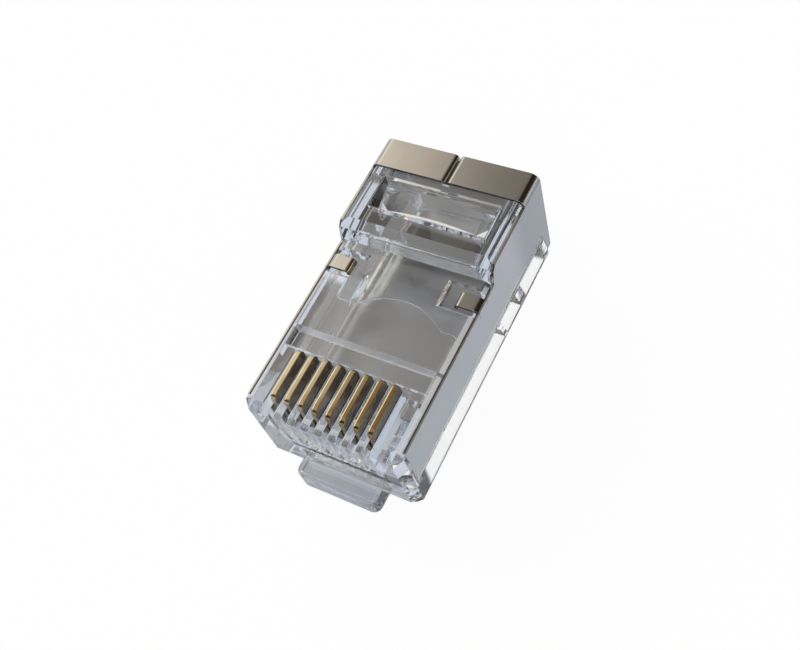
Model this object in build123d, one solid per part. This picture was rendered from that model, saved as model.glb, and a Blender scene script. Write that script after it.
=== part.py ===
from build123d import *
import math
import os

# Shielded eight-way modular plug, not yet crimped. Millimetres.
# X runs across the plug, Y from the nose to the cable end, Z up to the contact side.
# It is drawn with Z = 0 on the latch side of the body, then moved so that the origin
# is the middle of the nose face.

# Body moulding
plug_width = 11.68
plug_length = 21.5
nose_height = 6.5
rear_height = 8.0
step_y = 13.95             # upper front edge of the taller rear block
step_slope = 0.3           # lean of the rear block's front face
rim_run = 0.4              # bevel round the contact side, measured across
rim_drop = 0.25            # the same bevel, measured down
nose_corner = 0.6          # bevel on the nose's two upright corners
nose_lip = 0.3             # bevel along the nose's upper and lower edges

# Contacts
contact_count = 8
contact_pitch = 1.016
blade_thickness = 0.35
blade_length = 3.7
blade_front = 0.9          # nose face to the blade
blade_stand = 0.8          # blade above the contact side before crimping
blade_nose_radius = 0.5    # upper front corner
blade_heel_radius = 0.35   # upper rear corner
blade_foot_bevel = 0.4     # lower corners
blade_clearance = 0.03     # blade to slot, each side
prong_count = 3
prong_depth = 0.8
prong_gap = 0.12           # prong tips to the top of the wire

# Slots and tray round the contacts
slot_sill = 3.8            # height of the slots' open lower end on the nose face
nose_wall = 0.85           # nose face to the blind end of the wire channels
tray_margin = 0.62         # outermost slot to the edge of the tray
tray_depth = 0.15

# Crosswise relief groove behind the contacts
groove_wall = 0.3          # last of the slots to the groove
groove_length = 1.6
groove_depth = 0.7
groove_ramp = 0.1          # slope of the groove's rear wall, along Y

# Wire channels, flat wire bay and cable bay
wire_radius = 0.45
wire_height = 2.3          # wire axis above the latch side
wire_play = 0.15           # wires to the roof of the wire bay
channel_length = 4.2
bay_side = 1.15            # wall beside the bays
bay_corner = 0.7
floor_thickness = 1.0
rear_roof = 1.0
lead_in_y = 10.15          # behind this line the roof is higher, so that wires spread out to it
lead_in_rise = 0.35
lead_in_bulge = 1.3        # how far that line bulges back at its middle
lead_in_half = 3.2         # half width of the bulge
cable_bay_wall = 0.4       # behind the front face of the rear block, at the cable bay's roof
cable_bay_lean = 0.27      # the bay's front wall falls back from there, per mm of height

# Strain relief window and its hinged wedge bar, in the rear block's roof
window_half_width = 4.4
window_front = 1.9         # behind the front face of the rear block
window_length = 2.7
bar_side_gap = 0.3
bar_length = 2.35
bar_dip = 0.6              # fall of the bar's face towards its free edge
bar_web = 0.4              # thickness and length of the web that the bar bends on
bar_plate = 0.55           # thickness of the bar between its two jaws
bar_arch = 0.2             # rise of the hollow's roof at its middle
jaw_depth = 1.0            # jaws that bite on the cable, below the plate
jaw_width = 0.9            # across their root; they run to a point

# Folded sheet shield
sheet = 0.2
sheet_gap = 0.03           # between the sheet and the moulding
bend_radius = 0.45         # inside the bend
shield_front = 0.95        # nose face to the side plates
plate_foot_front = 2.45    # lower edge of the side plates at the nose
plate_foot_rear = 2.85     # and at the rear
skirt_length = 0.45        # where the sheet wraps under the rear edge
skirt_slope = 0.6
strip_length = 2.4         # strips folded over the rear block
seam_width = 0.12          # between the strips
seam_drop = 0.45           # their edges turn down into the roof along the seam
seam_bend = 0.1            # inside that bend
base_front = 4.2           # nose face to the base plate
base_side = 0.95           # moulding left clear beside the base plate
base_corner = 0.3

# Tabs of the shield, folded into pockets in the contact side
tab_y = 11.95              # middle of the tabs
tab_width = 1.1
tab_reach = 1.75           # from the side of the plug inwards
tab_sink = 0.12            # top of the tab below the contact side
tab_hook = 0.2             # radius of the tab's downturned end
pocket_length = 1.85
pocket_reach = 2.75
pocket_depth = 0.62
pocket_bevel = 0.15

# Latch
latch_width = 6.15
latch_tail_width = 3.25
root_reach = 1.2           # root block ahead of the nose face
root_length = 1.9          # root block behind the nose face
root_thickness = 1.35
root_corner = 0.6
latch_slope = 11.0         # degrees below the body, at rest
latch_gap = 0.05           # arm to root and arm to body, at the hinge line
neck_length = 1.3
neck_thickness = 0.9
shoulder_length = 6.3      # hinge line to the locking shoulders
shoulder_thickness = 1.75
ramp_length = 1.4
latch_length = 13.8
tail_thickness = 1.15
tail_step = 0.25           # tail's upper face below the arm's
tail_corner = 0.5
thumb_length = 1.6
thumb_lip = 0.35
latch_edge = 0.15

# Worked-out sizes
half_width = plug_width / 2
inner_half = half_width - sheet - sheet_gap
blade_rear = blade_front + blade_length
blade_top = nose_height + blade_stand
slot_width = blade_thickness + 2 * blade_clearance
slot_rear = blade_rear + blade_clearance
field_half = (contact_count - 1) / 2 * contact_pitch + slot_width / 2
tray_half = field_half + tray_margin
groove_front = slot_rear + groove_wall
wire_top = wire_height + wire_radius
wire_bay_roof = wire_top + wire_play
channel_end = nose_wall + channel_length
strip_front = plug_length - strip_length
contact_xs = [(n - (contact_count - 1) / 2) * contact_pitch for n in range(contact_count)]
beyond = 2.0               # how far a cutter runs past the face that it opens
to_origin = Pos(0, 0, -nose_height / 2)


# A side-view outline of (y, z) points, given equal thickness to each side of a plane x
def across(points, half, x=0.0):
    face = make_face(Plane.YZ * Polyline(*points, close=True))
    return Pos(x, 0, 0) * extrude(face, half, both=True)


# A straight block between two corners
def block(low, high):
    size = [b - a for a, b in zip(low, high)]
    return Pos(*low) * Box(*size, align=(Align.MIN, Align.MIN, Align.MIN))


# The same solid on both sides of the middle plane
def both_sides(solid):
    return solid + mirror(solid, about=Plane.YZ)


# The upper rim of a block bevelled on its front and sides
def bevel_rim(solid):
    top = solid.faces().sort_by(Axis.Z)[-1]
    rim = top.edges().sort_by(Axis.Y)[:-1]
    run = rim_run + half_width - inner_half
    return chamfer(rim, length=run, length2=rim_drop * run / rim_run, reference=top)


# Lower edge of a side plate as (y, z) points from the nose to the skirt, moved out by a gap
def plate_foot(gap=0.0):
    skirt_y = plug_length - skirt_length - gap
    return [
        (shield_front - gap, plate_foot_front - gap),
        (skirt_y - skirt_slope, plate_foot_rear - gap),
        (skirt_y, bend_radius + sheet),
    ]


# Side view of one side plate, as (y, z) points
def side_plate_outline():
    nose_top = nose_height - rim_drop
    rear_top = rear_height - rim_drop
    return plate_foot() + [
        (plug_length, bend_radius + sheet),
        (plug_length, rear_top),
        (step_y + rim_run, rear_top),
        (step_y, rear_top - rim_run),
        (step_y - step_slope, nose_top),
        (shield_front, nose_top),
    ]


# Plan of the base plate: full width at the skirt, narrower ahead of it
def base_plate(thickness):
    low, high = base_front, plug_length
    narrow = half_width - base_side
    wide = half_width - bend_radius - sheet
    skirt_y = plug_length - skirt_length
    plan = [
        (-narrow, skirt_y - skirt_slope), (-narrow, low + base_corner), (-narrow + base_corner, low),
        (narrow - base_corner, low), (narrow, low + base_corner), (narrow, skirt_y - skirt_slope),
        (wide, skirt_y), (wide, high), (-wide, high), (-wide, skirt_y),
    ]
    return extrude(make_face(Polyline(*plan, close=True)), thickness)


# Section of the sheet all the way round the rear edge, both its edges turned down at the seam on top
def collar(front, length):
    mid = half_width - sheet / 2
    top = rear_height + sheet_gap + sheet / 2
    edge = (seam_width + sheet) / 2
    bends = [seam_bend + sheet / 2, bend_radius + sheet / 2, bend_radius + sheet / 2]
    half_ring = FilletPolyline(
        (edge, rear_height - seam_drop), (edge, top), (mid, top), (mid, sheet / 2), (0, sheet / 2), radius=bends
    )
    section = Plane.XZ * trace(half_ring, sheet)
    return Pos(0, front, 0) * both_sides(extrude(section, length, dir=(0, 1, 0)))


# A tab that leaves a side plate, folds over its upper edge and hooks into the pocket
def tab():
    mid = half_width - sheet / 2
    top = nose_height - tab_sink - sheet / 2
    end = half_width - tab_reach
    hook_foot = nose_height - pocket_depth + sheet_gap
    path = FilletPolyline(
        (mid, nose_height - rim_drop - tab_width), (mid, top), (end, top), (end, hook_foot),
        radius=[bend_radius, tab_hook]
    )
    section = Plane.XZ * trace(path, sheet)
    return Pos(0, tab_y - tab_width / 2, 0) * extrude(section, tab_width, dir=(0, 1, 0))


# The bays: a flat one for the wires, a lead-in with a bulging front edge, a tall one for the cable
def bays():
    half = half_width - bay_side
    rear = plug_length + beyond
    roof = rear_height - rear_roof
    flat = block((-half_width, 0, 0), (half_width, rear, wire_bay_roof))
    bulge = ThreePointArc(
        (-lead_in_half, lead_in_y), (0, lead_in_y + lead_in_bulge), (lead_in_half, lead_in_y)
    )
    around = Polyline(
        (lead_in_half, lead_in_y), (half_width, lead_in_y), (half_width, rear), (-half_width, rear),
        (-half_width, lead_in_y), (-lead_in_half, lead_in_y)
    )
    lead_in = extrude(make_face(bulge + around), wire_bay_roof + lead_in_rise)
    front = step_y + cable_bay_wall
    tall = across([(front + cable_bay_lean * roof, 0), (rear, 0), (rear, roof), (front, roof)], half_width)
    space = block((-half, channel_end, floor_thickness), (half, rear, roof))
    space = fillet(space.edges().filter_by(Axis.Y), bay_corner)
    return space & (flat + lead_in + tall)


# The grip bar of the strain relief, joined to the window's rear edge by a thin web
def grip_bar():
    window_rear = step_y + window_front + window_length
    hinge = window_rear - bar_web
    free = window_rear - bar_length
    top = rear_height - bar_web
    low = top - bar_plate - jaw_depth
    half = window_half_width - bar_side_gap
    bar = across([
        (window_rear + bar_web, top), (hinge, top), (free, top - bar_dip), (free, low - bar_dip),
        (hinge, low), (hinge, top - bar_web), (window_rear + bar_web, top - bar_web),
    ], half)
    roof_half = half - jaw_width
    roof = ThreePointArc((-roof_half, 0), (0, bar_arch), (roof_half, 0))
    sides = Polyline((roof_half, 0), (half, -jaw_depth), (half, -plug_width), (-half, -plug_width),
                     (-half, -jaw_depth), (-roof_half, 0))
    hollow = extrude(Plane.XZ * make_face(roof + sides), plug_width, both=True)
    fall = math.degrees(math.atan2(bar_dip, hinge - free))
    return bar - Pos(0, free, top - bar_dip - bar_plate) * Rot(X=fall) * hollow


def housing():
    nose = block((-half_width, 0, 0), (half_width, plug_length, nose_height))
    nose = chamfer(nose.edges().filter_by(Axis.Z).group_by(Axis.Y)[0], nose_corner)
    nose = bevel_rim(nose)
    nose = chamfer(nose.faces().sort_by(Axis.Z)[0].edges().sort_by(Axis.Y)[0], nose_lip)
    rear = bevel_rim(across([
        (step_y - step_slope, 0), (plug_length, 0), (plug_length, rear_height), (step_y, rear_height),
        (step_y - step_slope, nose_height),
    ], half_width))
    root = block((-latch_width / 2, -root_reach, -root_thickness), (latch_width / 2, root_length, nose_lip))
    root = fillet(root.edges().filter_by(Axis.Z).group_by(Axis.Y)[0], root_corner)
    root = chamfer(root.faces().sort_by(Axis.Z)[0].edges().sort_by(Axis.Y)[0], latch_edge)
    body = nose + rear + root

    side_seat = across(
        plate_foot(sheet_gap) + [
            (plug_length, bend_radius + sheet), (plug_length, rear_height + beyond),
            (shield_front - sheet_gap, rear_height + beyond),
        ], sheet + sheet_gap, half_width)
    body -= both_sides(side_seat)
    body -= Pos(0, 0, -sheet_gap) * base_plate(sheet + 2 * sheet_gap)
    strip_seat = block((-half_width, plug_length - skirt_length - sheet_gap, -sheet_gap),
                       (half_width, plug_length, rear_height))
    strip_core = block((-inner_half, 0, sheet + sheet_gap), (inner_half, plug_length, rear_height))
    strip_core = fillet(strip_core.edges().filter_by(Axis.Y), bend_radius)
    body -= strip_seat - strip_core
    seam_half = seam_width / 2 + sheet + sheet_gap
    body -= block((-seam_half, strip_front - sheet_gap, rear_height - seam_drop - sheet_gap),
                  (seam_half, plug_length, rear_height + beyond))

    tray = block((-tray_half, -beyond, nose_height - tray_depth), (tray_half, slot_rear, nose_height + beyond))
    body -= tray
    groove_half = inner_half - rim_run
    groove_rear = groove_front + groove_length
    groove_floor = nose_height - groove_depth
    body -= across([
        (groove_front, groove_floor), (groove_rear - groove_ramp, groove_floor), (groove_rear, nose_height),
        (groove_rear, nose_height + beyond), (groove_front, nose_height + beyond),
    ], groove_half)
    pocket = block((half_width - pocket_reach, tab_y - pocket_length / 2, nose_height - pocket_depth),
                   (half_width + beyond, tab_y + pocket_length / 2, nose_height + beyond))
    lip_foot = Pos(half_width, tab_y, nose_height - pocket_bevel) * Rectangle(2 * pocket_reach, pocket_length)
    body -= both_sides(pocket + extrude(lip_foot, pocket_bevel, taper=-45))

    slot = across([
        (-beyond, slot_sill), (nose_wall / 2, slot_sill), (nose_wall, wire_height),
        (slot_rear, wire_height), (slot_rear, blade_top), (-beyond, blade_top),
    ], slot_width / 2)
    channel = Pos(0, nose_wall, wire_height) * Rot(X=-90) * Cylinder(
        wire_radius, channel_length, align=(Align.CENTER, Align.CENTER, Align.MIN)
    )
    for x in contact_xs:
        body -= Pos(x, 0, 0) * (slot + channel)

    body -= bays()
    body -= block((-window_half_width, step_y + window_front, nose_height),
                  (window_half_width, step_y + window_front + window_length, rear_height + beyond))
    return body + grip_bar()


def shield():
    part = both_sides(across(side_plate_outline(), sheet / 2, half_width - sheet / 2))
    skirt = collar(plug_length - skirt_length, skirt_length)
    strips = collar(strip_front, strip_length)
    strips &= block((-half_width, 0, rear_height - seam_drop), (half_width, plug_length, rear_height + beyond))
    return part + skirt + strips + base_plate(sheet) + both_sides(tab())


# One flat contact blade: rounded top corners, tapered foot, pointed prongs
def contact(x):
    foot_front = blade_front + blade_foot_bevel
    foot_rear = blade_rear - blade_foot_bevel
    tip = wire_top + prong_gap
    root = tip + prong_depth
    width = (foot_rear - foot_front) / prong_count
    prongs = []
    for n in range(prong_count):
        start = foot_front + n * width
        prongs += [(start, root), (start + width / 3, tip), (start + 2 * width / 3, tip)]
    blade = across([
        (blade_front, blade_top), (blade_front, root + 2 * blade_foot_bevel),
        (foot_front, root + blade_foot_bevel), *prongs, (foot_rear, root),
        (foot_rear, root + blade_foot_bevel), (blade_rear, root + 2 * blade_foot_bevel),
        (blade_rear, blade_top),
    ], blade_thickness / 2, x)
    nose = blade.edges().filter_by(Axis.X).group_by(Axis.Z)[-1].sort_by(Axis.Y)[0]
    blade = fillet(nose, blade_nose_radius)
    heel = blade.edges().filter_by(Axis.X).group_by(Axis.Z)[-1].sort_by(Axis.Y)[-1]
    return fillet(heel, blade_heel_radius)


# The latch arm, drawn level and then dropped to its slope about the hinge line
def latch():
    arm = across([
        (-neck_length, 0), (shoulder_length, 0), (shoulder_length, -shoulder_thickness),
        (neck_length + ramp_length, -shoulder_thickness), (neck_length, -neck_thickness),
        (-neck_length, -neck_thickness),
    ], latch_width / 2)
    tail_low = -tail_step - tail_thickness
    tail = across([
        (shoulder_length - ramp_length, -tail_step), (latch_length, -tail_step),
        (latch_length, tail_low - thumb_lip), (latch_length - thumb_length / 2, tail_low - thumb_lip),
        (latch_length - thumb_length, tail_low), (shoulder_length - ramp_length, tail_low),
    ], latch_tail_width / 2)
    tail = fillet(tail.edges().filter_by(Axis.Z).group_by(Axis.Y)[-1], tail_corner)
    lock = arm.edges().filter_by(Axis.Y).group_by(Axis.Z)[0]
    arm = chamfer(lock, latch_edge) + tail
    arm = Pos(0, root_length, -latch_gap) * Rot(X=-latch_slope) * arm
    ahead = block((-half_width, -plug_length, -plug_length), (half_width, root_length + latch_gap, nose_height))
    return arm - ahead


os.makedirs("parts", exist_ok=True)
solids = {"housing": housing(), "shield": shield(), "latch": latch()}
for number, x in enumerate(contact_xs, start=1):
    solids[f"contact_{number}"] = contact(x)
for name, solid in solids.items():
    export_step(to_origin * solid, f"parts/{name}.step")
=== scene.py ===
import math

import bpy
from mathutils import Matrix, Vector


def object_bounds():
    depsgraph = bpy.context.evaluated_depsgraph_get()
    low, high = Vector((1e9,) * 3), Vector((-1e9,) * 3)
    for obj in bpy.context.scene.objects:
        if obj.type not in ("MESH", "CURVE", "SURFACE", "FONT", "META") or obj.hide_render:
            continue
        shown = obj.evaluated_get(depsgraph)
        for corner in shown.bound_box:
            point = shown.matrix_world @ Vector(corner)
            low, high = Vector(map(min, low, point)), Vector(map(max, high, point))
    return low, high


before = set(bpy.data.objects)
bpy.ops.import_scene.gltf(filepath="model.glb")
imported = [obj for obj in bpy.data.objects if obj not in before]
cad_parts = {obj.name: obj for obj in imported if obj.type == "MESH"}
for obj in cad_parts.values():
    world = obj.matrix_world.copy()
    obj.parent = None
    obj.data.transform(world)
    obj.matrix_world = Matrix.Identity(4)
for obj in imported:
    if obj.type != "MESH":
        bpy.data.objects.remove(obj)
cadLow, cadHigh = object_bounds()
print("frame loaded:", len(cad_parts), "nodes")

mm = 0.001
white = (1.0, 1.0, 1.0, 1)
scene = bpy.context.scene
scene.view_settings.view_transform = "Standard"
# light passes many walls of clear plastic before it leaves the plug
bounces = {"max_bounces": 24, "transmission_bounces": 24, "glossy_bounces": 16,
           "transparent_max_bounces": 24}
for setting, count in bounces.items():
    setattr(scene.cycles, setting, count)


# One node socket that takes part in Python expressions, each adding a Math node
class Value:
    def __init__(self, shader, socket):
        self.shader, self.socket = shader, socket

    def combine(self, operation, *others):
        places = {f"_{n}": item for n, item in enumerate((self, *others))}
        return self.shader.add("Math", {"operation": operation}, **places)

    def reflected(self, operation, other):
        return self.shader.add("Math", {"operation": operation}, _0=other, _1=self)

    def __add__(self, other):
        return self.combine("ADD", other)

    def __sub__(self, other):
        return self.combine("SUBTRACT", other)

    def __mul__(self, other):
        return self.combine("MULTIPLY", other)

    def __truediv__(self, other):
        return self.combine("DIVIDE", other)

    def __radd__(self, other):
        return self.reflected("ADD", other)

    def __rsub__(self, other):
        return self.reflected("SUBTRACT", other)

    def __rmul__(self, other):
        return self.reflected("MULTIPLY", other)

    def over(self, other):              # the larger of the two
        return self.combine("MAXIMUM", other)

    def size(self):                     # without its sign
        return self.combine("ABSOLUTE")

    def rise(self, low, high):          # smooth step from 0 at low to 1 at high
        return self.shader.add("MapRange", {"interpolation_type": "SMOOTHSTEP"},
                               Value=self, From_Min=low, From_Max=high)

    def fall(self, low, high):          # from 1 at low to 0 at high
        return 1.0 - self.rise(low, high)

    def near(self, middle, full, gone):     # 1 within full of the middle, 0 beyond gone
        return (self - middle).size().fall(full, gone)


# A node tree that is filled by one method, which takes a node's type, settings and inputs.
# An input is given by its name, or by its number after an underscore
class Shader:
    def __init__(self, tree):
        self.tree = tree
        tree.nodes.clear()

    def add(self, kind, settings=None, out=0, **inputs):
        node = self.tree.nodes.new("ShaderNode" + kind)
        for key, item in (settings or {}).items():
            setattr(node, key, item)
        for key, item in inputs.items():
            name = key.replace("_", " ")
            socket = node.inputs[int(name)] if name.strip().isdigit() else node.inputs[name]
            if isinstance(item, Value):
                self.tree.links.new(item.socket, socket)
            else:
                socket.default_value = item
        return Value(self, node.outputs[out]) if len(node.outputs) else node

    def place(self):                    # a point on the object, in millimetres
        raw = self.add("TexCoord", out="Object")
        return self.add("VectorMath", {"operation": "SCALE"}, Vector=raw, Scale=1 / mm)

    def split(self, vector):
        parts = self.add("SeparateXYZ", _0=vector).socket.node.outputs
        return [Value(self, part) for part in parts]

    def mix(self, factor, low, high):   # of two colours
        return self.add("Mix", {"data_type": "RGBA"}, out=2, _0=factor, _6=low, _7=high)

    def blend(self, factor, low, high):     # of two surfaces
        return self.add("MixShader", _0=factor, _1=low, _2=high)

    def noise(self, where, scale, detail=2.0):
        return self.add("TexNoise", Vector=where, Scale=scale, Detail=detail, Roughness=0.5)

    # A soft-edged box: each axis gives the range over which the mask rises, then the range
    # over which it falls, or None where it has no end on that side
    def zone(self, axes, limits):
        mask = None
        for axis, (rise, fall) in limits.items():
            edges = ([axes[axis].rise(*rise)] if rise else []) + ([axes[axis].fall(*fall)] if fall else [])
            for edge in edges:
                mask = edge if mask is None else mask * edge
        return mask

    def lean(self, normal, towards, amount):    # turns a surface normal towards a direction
        turn = self.add("VectorMath", {"operation": "SCALE"}, Vector=towards, Scale=amount)
        leant = self.add("VectorMath", {"operation": "ADD"}, _0=normal, _1=turn)
        return self.add("VectorMath", {"operation": "NORMALIZE"}, Vector=leant)


def newMaterial(name):
    material = bpy.data.materials.new(name)
    material.use_nodes = True
    return material, Shader(material.node_tree)


# All places below are in millimetres, with "side" the distance from the middle plane
contacts = {"pitch": 1.016, "fieldHalf": (4.05, 4.1)}


def acrossPitch(x):                     # sideways from the nearest contact, in pitches
    return (x / contacts["pitch"]).combine("FRACT") - 0.5


plastic = {
    # the second tint is painted shade: the same clear plastic, tinted darker in front of the nose
    "tint": (0.87, 0.885, 0.915, 1), "rootShadeTint": (0.60, 0.62, 0.655, 1), "ior": 1.58,
    # painted highlights: a white diffuse and a white metal, mixed into the clear plastic
    "highlightWhite": (0.96, 0.97, 0.98, 1), "gleam": (0.97, 0.97, 0.97, 1), "gleamRough": 0.35,
    "grit": (0.55, 0.85), "gritRough": 0.02, "satinRough": 0.4,
    # where the painted white highlights on rounded edges show, and how strongly
    "edge": 0.03, "glowEdge": 0.07, "glowFrom": (0.05, 0.14), "glow": (0.25, 0.35),
    "waveStrength": 0.05, "waveHeight": 0.004,
    # clear flank below the side plates, with two slanting ribs that show, and its outline
    "flank": {"side": ((4.9, 5.0), None), "z": (None, (-0.92, -0.82)), "y": ((1.6, 2.0), (20.2, 20.6))},
    "flankClear": 0.93, "ribs": ((16.35, 0.42), (13.4, 0.18)), "ribSlant": 0.27, "ribSoft": 0.05,
    "outline": {"z": (None, (-3.16, -3.12)), "side": ((5.7, 5.75), None)},
    # wire channels in the nose, which hardly show through the slots in front of them
    "bore": {"y": ((0.7, 0.8), (4.7, 4.9)), "side": (None, contacts["fieldHalf"])},
    "boreAxis": -0.95, "boreSquare": (0.215, 0.24), "boreClear": 0.95,
    # rear wall of the crosswise groove, left satin by the mould, with a painted highlight of white metal
    "groove": {"y": ((6.3, 6.38), (6.55, 6.6)), "z": ((2.5, 2.6), (3.22, 3.24))},
    # bevel along the contact side's edges, painted with a white highlight
    "rim": {"side": ((5.30, 5.36), None), "z": ((2.90, 2.94), None), "y": ((0.6, 0.8), (13.2, 13.5))},
    # grip bar in the window: painted highlights on its top, along the arch of its front edge and on a facet
    # at each end
    "bar": {"y": ((16.15, 16.2), (18.2, 18.4)), "side": (None, (4.1, 4.14)), "z": ((3.5, 3.6), (4.4, 4.5))},
    "barTop": (16.25, 16.3), "arch": (16.55, 0.018), "archLine": (0.06, 0.10),
    "facetFrom": (3.05, 3.15), "facetCorner": (3.1, 16.2), "facetSlant": 0.8, "facetSoft": 0.03,
    # painted highlight lines where the latch's root block is bevelled
    "root": {"y": (None, (-0.15, -0.05)), "z": ((-3.6, -3.5), None)},
    "rootFront": (-0.93, 2.80), "rootSide": (2.83, -0.96), "rootLine": (0.02, 0.05),
    # painted highlight lines where the slots' edges round over, on the nose and in the tray
    "slotLine": (0.245, 0.02, 0.045),
    "slots": {"side": (None, contacts["fieldHalf"]), "y": (None, (4.6, 4.7))},
    "nose": {"y": (None, (0.02, 0.05)), "z": ((0.6, 0.7), None)},
    "tray": {"z": ((3.0, 3.05), (3.12, 3.15))},
    "upper": (2.8, 2.9), "front": (0.1, 0.2),
    # how much each painted highlight shows
    "highlightShare": {"rim": 0.6, "slots": 0.6, "barTop": 0.08},
    "gleamShare": {"bar": 0.85, "root": 0.7, "groove": 0.9},
}


def clearPlastic():
    material, s = newMaterial("clearPlastic")
    where = s.place()
    x, y, z = s.split(where)
    side = x.size()
    axes = {"x": x, "y": y, "z": z, "side": side}
    wave = s.noise(where, 0.35)
    grit = s.noise(where, 6.0, 3.0)

    groove = s.zone(axes, plastic["groove"])
    rough = grit.rise(*plastic["grit"]) * plastic["gritRough"] + groove * plastic["satinRough"]
    edge = s.add("Bevel", {"samples": 8}, Radius=plastic["edge"] * mm)
    bump = s.add("Bump", Strength=plastic["waveStrength"], Distance=plastic["waveHeight"] * mm,
                 Height=wave, Normal=edge)
    # painted shade: the plastic is tinted darker in front of the nose
    tint = s.mix(y.fall(-0.2, 0.0), plastic["tint"], plastic["rootShadeTint"])

    flank = s.zone(axes, plastic["flank"]) * (1.0 - s.zone(axes, plastic["outline"]))
    slant = y + (z + 2.0) * plastic["ribSlant"]
    for middle, half in plastic["ribs"]:
        rib = slant.near(middle, half - plastic["ribSoft"], half + plastic["ribSoft"])
        flank = flank * (1.0 - rib)
    across = acrossPitch(x) * contacts["pitch"]
    height = z - plastic["boreAxis"]
    bore = (across * across + height * height).fall(*plastic["boreSquare"]) * s.zone(axes, plastic["bore"])
    clear = (flank * plastic["flankClear"]).over(bore * plastic["boreClear"])
    surface = s.add("BsdfPrincipled", Base_Color=tint, Roughness=rough, IOR=plastic["ior"],
                    Alpha=1.0 - clear, Transmission_Weight=1.0, Normal=bump)

    # Painted highlights of white diffuse: rim, slot edges, the bar's top, and every edge where it is rounded
    # over, more on upper and front faces
    slotEdge = across.size().near(*plastic["slotLine"]) * s.zone(axes, plastic["slots"])
    slotEdge = slotEdge * s.zone(axes, plastic["nose"]).over(s.zone(axes, plastic["tray"]))
    bar = s.zone(axes, plastic["bar"])
    turned = s.add("Bevel", {"samples": 6}, Radius=plastic["glowEdge"] * mm)
    flat = s.add("NewGeometry", out="True Normal")
    along = s.add("VectorMath", {"operation": "DOT_PRODUCT"}, out="Value", _0=turned, _1=flat)
    rounded = (1.0 - along.size()).rise(*plastic["glowFrom"]) * (1.0 - bore)
    least, extra = plastic["glow"]
    outer = z.rise(*plastic["upper"]).over(y.fall(*plastic["front"])) * extra + least
    share = plastic["highlightShare"]
    paintedTone = (s.zone(axes, plastic["rim"]) * share["rim"]).over(slotEdge * share["slots"])
    paintedTone = paintedTone.over(bar * y.rise(*plastic["barTop"]) * share["barTop"]).over(rounded * outer)
    highlighted = s.blend(paintedTone, surface, s.add("BsdfDiffuse", Color=plastic["highlightWhite"]))

    # Painted highlights of white metal: the bar's arch and facets, the root block's bevels, the groove's wall
    archY, archBend = plastic["arch"]
    arch = (y + side * side * archBend).near(archY, *plastic["archLine"])
    cornerSide, cornerY = plastic["facetCorner"]
    facet = y - cornerY - (side - cornerSide) * plastic["facetSlant"]
    facet = side.rise(*plastic["facetFrom"]) * facet.fall(-plastic["facetSoft"], plastic["facetSoft"])
    lineY, lineHalf = plastic["rootFront"]
    rootFront = y.near(lineY, *plastic["rootLine"]) * side.fall(lineHalf, lineHalf + 0.06)
    lineSide, lineFrom = plastic["rootSide"]
    rootSide = side.near(lineSide, *plastic["rootLine"]) * y.rise(lineFrom, lineFrom + 0.03)
    root = rootFront.over(rootSide) * s.zone(axes, plastic["root"])
    share = plastic["gleamShare"]
    paintedShine = (bar * arch.over(facet) * share["bar"]).over(root * share["root"])
    paintedShine = paintedShine.over(groove * share["groove"])
    gleam = s.add("BsdfPrincipled", Base_Color=plastic["gleam"], Metallic=1.0,
                  Roughness=plastic["gleamRough"])
    s.add("OutputMaterial", Surface=s.blend(paintedShine, highlighted, gleam))
    return material


nickel = {
    "colour": (0.64, 0.61, 0.57, 1), "worn": (0.56, 0.53, 0.49, 1), "dull": (0.88, 0.84, 0.77, 1),
    # all colours on the next line are painted highlights
    "paintedBright": (1.0, 0.96, 0.89, 1), "highlightStreak": (1.0, 0.97, 0.86, 1), "footHighlight": (1.0, 0.90, 0.66, 1),
    # on the next line: a painted dark reflection, then the cut edges' near black, partly painted shade, then
    # painted shade
    "side": (0.44, 0.42, 0.40, 1), "cutEdgeAndShade": (0.10, 0.10, 0.11, 1), "shade": (0.16, 0.15, 0.13, 1),
    "rough": 0.10, "cloudRough": 0.06, "satin": 0.3, "streakSatin": 0.95, "edge": 0.06,
    "under": (-2.9, -2.6),
    # cut edges of the sheet, duller than its plated faces, and painted near black as shade along them
    "rim": {"z": ((2.9, 2.95), (3.05, 3.1)), "side": ((5.6, 5.64), (5.72, 5.74)), "y": (None, (13.4, 13.5))},
    "tab": {"tab": ((0.53, 0.548), (0.56, 0.6)), "z": ((2.4, 2.5), None)}, "tabMiddle": 11.95,
    "stripFront": {"y": ((18.0, 18.5), (19.105, 19.12)), "z": ((4.3, 4.4), None)},
    # inside faces, in the shade of the strips
    "floor": {"y": ((15.2, 17.0), None), "z": ((-3.2, -3.1), (-3.0, -2.8))}, "floorEnd": (19.3, 19.7, 0.6),
    "wall": {"x": (None, (-0.1, 0.1)), "side": ((5.4, 5.5), (5.68, 5.72)), "y": ((14.5, 15.5), (19.0, 19.1))},
    "wallShade": 0.7,
    # painted highlights: the base plate paler behind the contacts, and a pale streak along its left edge
    "behind": {"y": ((11.0, 13.0), (15.0, 16.0))},
    "highlightStreakAt": {"x": (None, (-4.0, -2.2)), "y": ((10.5, 13.0), (16.0, 17.0))},
    "lean": (0.012, 0.06), "leanFrom": (11.5, 13.5), "streakLean": 0.09,
    # side plates: a painted highlight along their lower edge, and a painted dark reflection on their rear
    "foot": (0.0217, -0.82), "footHighlightAt": {"foot": (None, (0.10, 0.14)), "side": ((5.6, 5.7), None),
                                       "z": ((-1.2, -1.1), None), "y": (None, (20.0, 20.3))},
    # painted dark reflection on the side plates' rear
    "darkReflectionRear": {"side": ((5.7, 5.75), None), "y": ((16.0, 18.5), None)},
}


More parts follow.
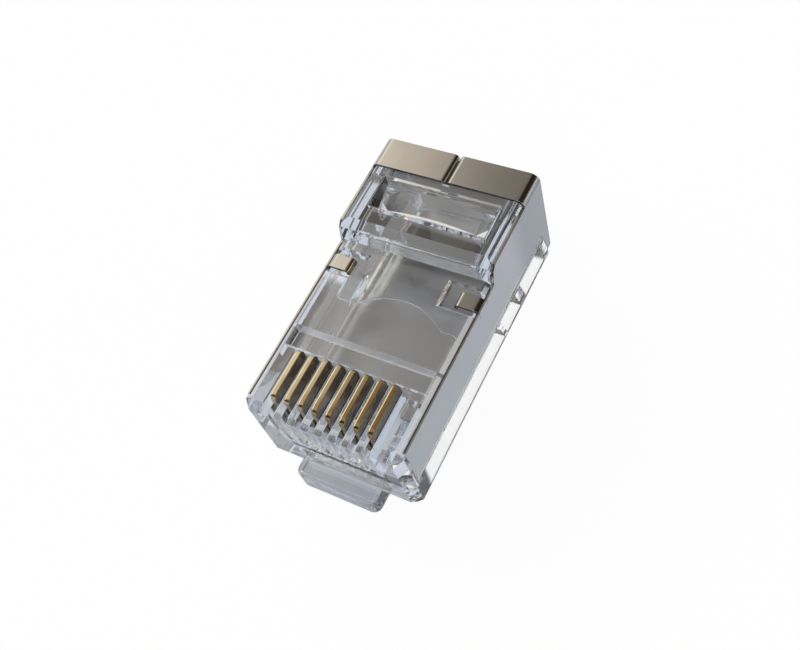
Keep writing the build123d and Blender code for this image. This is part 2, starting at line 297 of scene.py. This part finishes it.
def nickelSheet():
    material, s = newMaterial("nickelSheet")
    where = s.place()
    x, y, z = s.split(where)
    slope, start = nickel["foot"]
    axes = {"x": x, "y": y, "z": z, "side": x.size(), "tab": (y - nickel["tabMiddle"]).size(),
            "foot": z - (y * slope + start)}
    cloud = s.noise(where, 0.5, 3.0)
    under = z.fall(*nickel["under"])
    cutEdgeAndShade = s.zone(axes, nickel["rim"]).over(s.zone(axes, nickel["tab"]))
    cutEdgeAndShade = cutEdgeAndShade.over(s.zone(axes, nickel["stripFront"]))
    endFrom, endTo, endShare = nickel["floorEnd"]
    floor = s.zone(axes, nickel["floor"]) * (1.0 - y.rise(endFrom, endTo) * endShare)
    shaded = floor.over(s.zone(axes, nickel["wall"]) * nickel["wallShade"])
    highlightStreak = s.zone(axes, nickel["highlightStreakAt"]) * under

    colour = s.mix(cloud, nickel["colour"], nickel["worn"])
    # painted light goes into the colour here: near-black cut edges, partly painted shade; painted shade
    # inside; painted highlights behind the contacts, along the base plate's left edge and along the side
    # plates' lower edge; a painted dark reflection on the side plates' rear
    for mask, name in ((under, "dull"), (cutEdgeAndShade, "cutEdgeAndShade"), (shaded, "shade"),
                       (s.zone(axes, nickel["behind"]) * under, "paintedBright"), (highlightStreak, "highlightStreak"),
                       (s.zone(axes, nickel["footHighlightAt"]), "footHighlight"), (s.zone(axes, nickel["darkReflectionRear"]), "side")):
        colour = s.mix(mask, colour, nickel[name])
    satin = under * (1.0 - highlightStreak * nickel["streakSatin"]) * nickel["satin"]
    # the base plate isn't quite flat: it leans to the left, more so at the rear and at its left edge
    least, extra = nickel["lean"]
    amount = (y.rise(*nickel["leanFrom"]) * extra + least) * under + highlightStreak * nickel["streakLean"]
    edge = s.add("Bevel", {"samples": 6}, Radius=nickel["edge"] * mm)
    surface = s.add("BsdfPrincipled", Base_Color=colour, Metallic=1.0,
                    Roughness=cloud * nickel["cloudRough"] + satin + nickel["rough"],
                    Normal=s.lean(edge, (-1.0, 0.0, 0.0), amount))
    s.add("OutputMaterial", Surface=surface)
    return material


gilt = {
    # the darker gold is painted shade, mixed with random mottle; the pale line colour is a painted highlight
    "colour": (0.68, 0.58, 0.42, 1), "shadeAndMottle": (0.32, 0.21, 0.09, 1), "line": (1.0, 0.90, 0.70, 1),
    # bare bronze of the cut faces, and painted shade for their lower part
    "bronze": (0.34, 0.22, 0.10, 1), "paintedTone": (0.20, 0.18, 0.15, 1),
    "rough": 0.12, "cloudRough": 0.1, "edge": 0.05,
    "shadeFromX": (-4.5, 4.0), "cloudShare": 0.4, "front": (1.0, 3.4), "frontShare": 0.35,
    "top": (3.9, 4.0), "leftEdge": (-0.115, -0.085), "leftShare": 0.8, "leftLean": 0.35,
    "rightEdge": (0.12, 0.14), "rightShare": 0.6, "flank": (0.150, 0.168), "slot": (3.4, 4.0),
}


def giltBlade():
    material, s = newMaterial("giltBlade")
    where = s.place()
    x, y, z = s.split(where)
    cloud = s.noise(where, 1.2, 3.0)
    across = acrossPitch(x)
    top = z.rise(*gilt["top"])
    left = across.fall(*gilt["leftEdge"]) * top    # rounded over, so that it catches the left lamp
    right = across.rise(*gilt["rightEdge"]) * top
    # painted shade: darker towards the right and at the front, mixed with random mottle
    shadeAndMottle = x.rise(*gilt["shadeFromX"]) + (cloud - 0.5) * gilt["cloudShare"]
    shadeAndMottle = shadeAndMottle + y.fall(*gilt["front"]) * gilt["frontShare"]
    colour = s.mix(shadeAndMottle, gilt["colour"], gilt["shadeAndMottle"])
    # painted highlight along the left edge of each top
    colour = s.mix(left * gilt["leftShare"], colour, gilt["line"])
    # painted shade along the right edge of each top
    colour = s.mix(right * gilt["rightShare"], colour, gilt["shadeAndMottle"])
    # the cut faces are bare bronze, with painted shade on their lower part
    bare = s.mix(z.fall(*gilt["slot"]), gilt["bronze"], gilt["paintedTone"])     # the two cut faces
    colour = s.mix(across.size().rise(*gilt["flank"]), colour, bare)
    edge = s.add("Bevel", {"samples": 6}, Radius=gilt["edge"] * mm)
    surface = s.add("BsdfPrincipled", Base_Color=colour, Metallic=1.0,
                    Roughness=cloud * gilt["cloudRough"] + gilt["rough"],
                    Normal=s.lean(edge, (-1.0, 0.0, 0.3), left * gilt["leftLean"]))
    s.add("OutputMaterial", Surface=surface)
    return material


clear, sheetMetal, gold = clearPlastic(), nickelSheet(), giltBlade()
finishOf = {"housing": clear, "latch": clear, "shield": sheetMetal}
for name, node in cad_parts.items():
    node.data.materials.clear()
    node.data.materials.append(finishOf.get(name, gold))
print("materials made")

# Camera: the photograph's view, from the nose's right above the contact side
view = {"azimuth": 46.37, "elevation": 55.77, "roll": -22.58, "focal": 1032.2, "imageWidth": 800,
        "sensor": 36.0, "target": (0.0, 10.5, 0.25), "offset": (0.18, 0.23), "distance": 69.86,
        "clipStart": mm, "clipEnd": 10.0}


def makeCamera():
    az, el, roll = (math.radians(view[k]) for k in ("azimuth", "elevation", "roll"))
    forward = Vector((-math.sin(az) * math.cos(el), math.cos(az) * math.cos(el), -math.sin(el)))
    right = forward.cross(Vector((0, 0, 1))).normalized()
    up = right.cross(forward)
    tiltedRight = math.cos(roll) * right + math.sin(roll) * up
    tiltedUp = math.cos(roll) * up - math.sin(roll) * right
    x, y = view["offset"]
    place = Vector(view["target"]) - tiltedRight * x - tiltedUp * y - forward * view["distance"]
    data = bpy.data.cameras.new("camera")
    data.sensor_width = view["sensor"]
    data.lens = view["focal"] / view["imageWidth"] * view["sensor"]
    data.clip_start, data.clip_end = view["clipStart"], view["clipEnd"]
    camera = bpy.data.objects.new("camera", data)
    turn = Matrix((tiltedRight, tiltedUp, -forward)).transposed().to_4x4()
    camera.matrix_world = Matrix.Translation(place * mm) @ turn
    scene.collection.objects.link(camera)
    scene.camera = camera


makeCamera()
print("camera made")

# World: soft boxes left and overhead, dark cards behind and at the right, white low down.
# A patch has a middle direction and the cosines at which it starts and is full
studio = {
    "fill": (0.62, 0.66, 0.73, 1), "through": 0.15,
    "card": ((-0.10, 0.55, 0.83), 0.75, 0.93), "cardColour": (0.23, 0.21, 0.185, 1),
    "top": ((0.15, -0.25, 0.95), 0.90, 0.95), "topColour": (1.6, 1.62, 1.65, 1),
    "right": ((0.55, 0.42, 0.72), 0.84, 0.92), "rightColour": (0.03, 0.022, 0.015, 1),
    "left": (-0.52, -0.335), "leftColour": (1.15, 1.08, 0.95, 1),
    "band": ((0.16, 0.22), (0.30, 0.36)), "bandColour": (0.10, 0.11, 0.13, 1),
    "front": ((-0.41, -0.80, 0.42), 0.93, 0.97), "frontColour": (0.05, 0.045, 0.04, 1),
    "low": (0.14, 0.2), "lowColour": (0.84, 0.88, 0.94, 1),
    "gleam": ((0.87, 0.39, 0.31), 0.988, 0.996), "gleamColour": (2.2, 1.5, 0.7, 1),
}


def makeWorld():
    world = bpy.data.worlds.new("studio")
    scene.world = world
    world.use_nodes = True
    s = Shader(world.node_tree)
    x, y, z = s.split(s.add("TexCoord", out="Generated"))

    def patch(middle, start, full):
        middle = Vector(middle).normalized()
        return (x * middle.x + y * middle.y + z * middle.z).rise(start, full)

    masks = {"card": patch(*studio["card"]), "top": patch(*studio["top"]), "right": patch(*studio["right"]),
             "left": x.fall(*studio["left"]), "band": s.zone({"z": z}, {"z": studio["band"]}),
             "front": patch(*studio["front"]), "low": z.fall(*studio["low"]),
             "gleam": patch(*studio["gleam"])}
    sky = studio["fill"]
    for name, mask in masks.items():
        sky = s.mix(mask, sky, studio[name + "Colour"])
    seen = s.add("LightPath", out="Is Camera Ray")
    through = s.add("LightPath", out="Is Transmission Ray")
    colour = s.mix(seen.over(through * studio["through"]), sky, white)
    s.add("OutputWorld", Surface=s.add("Background", Color=colour, Strength=1.0))


makeWorld()

# Floor: white paper under the plug. Seen through the plastic, it is painted darker from the nose to the rear,
# a painted shadow, and painted with light as if the plug gathered it there: pale under the nose, and a bright
# line at its left
paper = {
    "half": 0.4, "below": 0.01, "matt": (0.9, 0.9, 0.9, 1), "strength": 1.04,
    "lit": (0.80, 0.85, 0.93, 1), "mirrored": (0.66, 0.76, 0.93, 1),
    # painted shadow, seen through the plastic: the floor's tone from the nose to the rear
    "front": (0.70, 0.71, 0.73, 1), "middle": (0.52, 0.51, 0.49, 1), "rear": (0.24, 0.235, 0.225, 1),
    "middleFrom": (4.0, 9.0), "rearFrom": ((17.0, 22.0, 0.75), (24.0, 30.0, 0.25)),
    # a painted bright line at the plug's left, seen through the plastic
    "line": (14.2, 0.6, 1.2), "lineEnds": {"x": ((-13.0, -11.0), (-2.5, -1.0))},
    "share": {"seen": 0.9, "mirrored": 0.55, "nose": 0.45, "line": 0.75},
}


def makeFloor():
    half, z = paper["half"], cadLow.z - paper["below"] * mm
    mesh = bpy.data.meshes.new("floor")
    corners = [(-half, -half, z), (half, -half, z), (half, half, z), (-half, half, z)]
    mesh.from_pydata(corners, [], [(0, 1, 2, 3)])
    floor = bpy.data.objects.new("floor", mesh)
    scene.collection.objects.link(floor)
    material, s = newMaterial("paleFloor")
    seen = s.add("LightPath", out="Is Camera Ray")
    through = s.add("LightPath", out="Is Transmission Ray")
    mirrored = s.add("LightPath", out="Is Glossy Ray") * (1.0 - through)   # a refracted ray counts as both
    x, y, z = s.split(s.place())
    tone = s.mix(seen, s.mix(mirrored, paper["lit"], paper["mirrored"]), white)
    glow = s.add("Emission", Color=tone, Strength=paper["strength"])
    # painted shadow: seen through the plastic, the floor darkens from the nose to the rear
    under = s.mix(y.rise(*paper["middleFrom"]), paper["front"], paper["middle"])
    (nearFrom, nearTo, nearShare), (farFrom, farTo, farShare) = paper["rearFrom"]
    rear = y.rise(nearFrom, nearTo) * nearShare + y.rise(farFrom, farTo) * farShare
    under = s.mix(rear, under, paper["rear"])
    matt = s.add("BsdfDiffuse", Color=s.mix(through, paper["matt"], under))
    share = paper["share"]
    # painted light, seen through the plastic: pale under the nose and a bright line at the plug's left
    line = y.near(*paper["line"]) * s.zone({"x": x}, paper["lineEnds"])
    paintedLightPool = (y.fall(*paper["middleFrom"]) * share["nose"]).over(line * share["line"])
    glowing = (seen * share["seen"]).over(mirrored * share["mirrored"]).over(through * paintedLightPool)
    s.add("OutputMaterial", Surface=s.blend(glowing, matt, glow))
    mesh.materials.append(material)


makeFloor()
print("stage made")
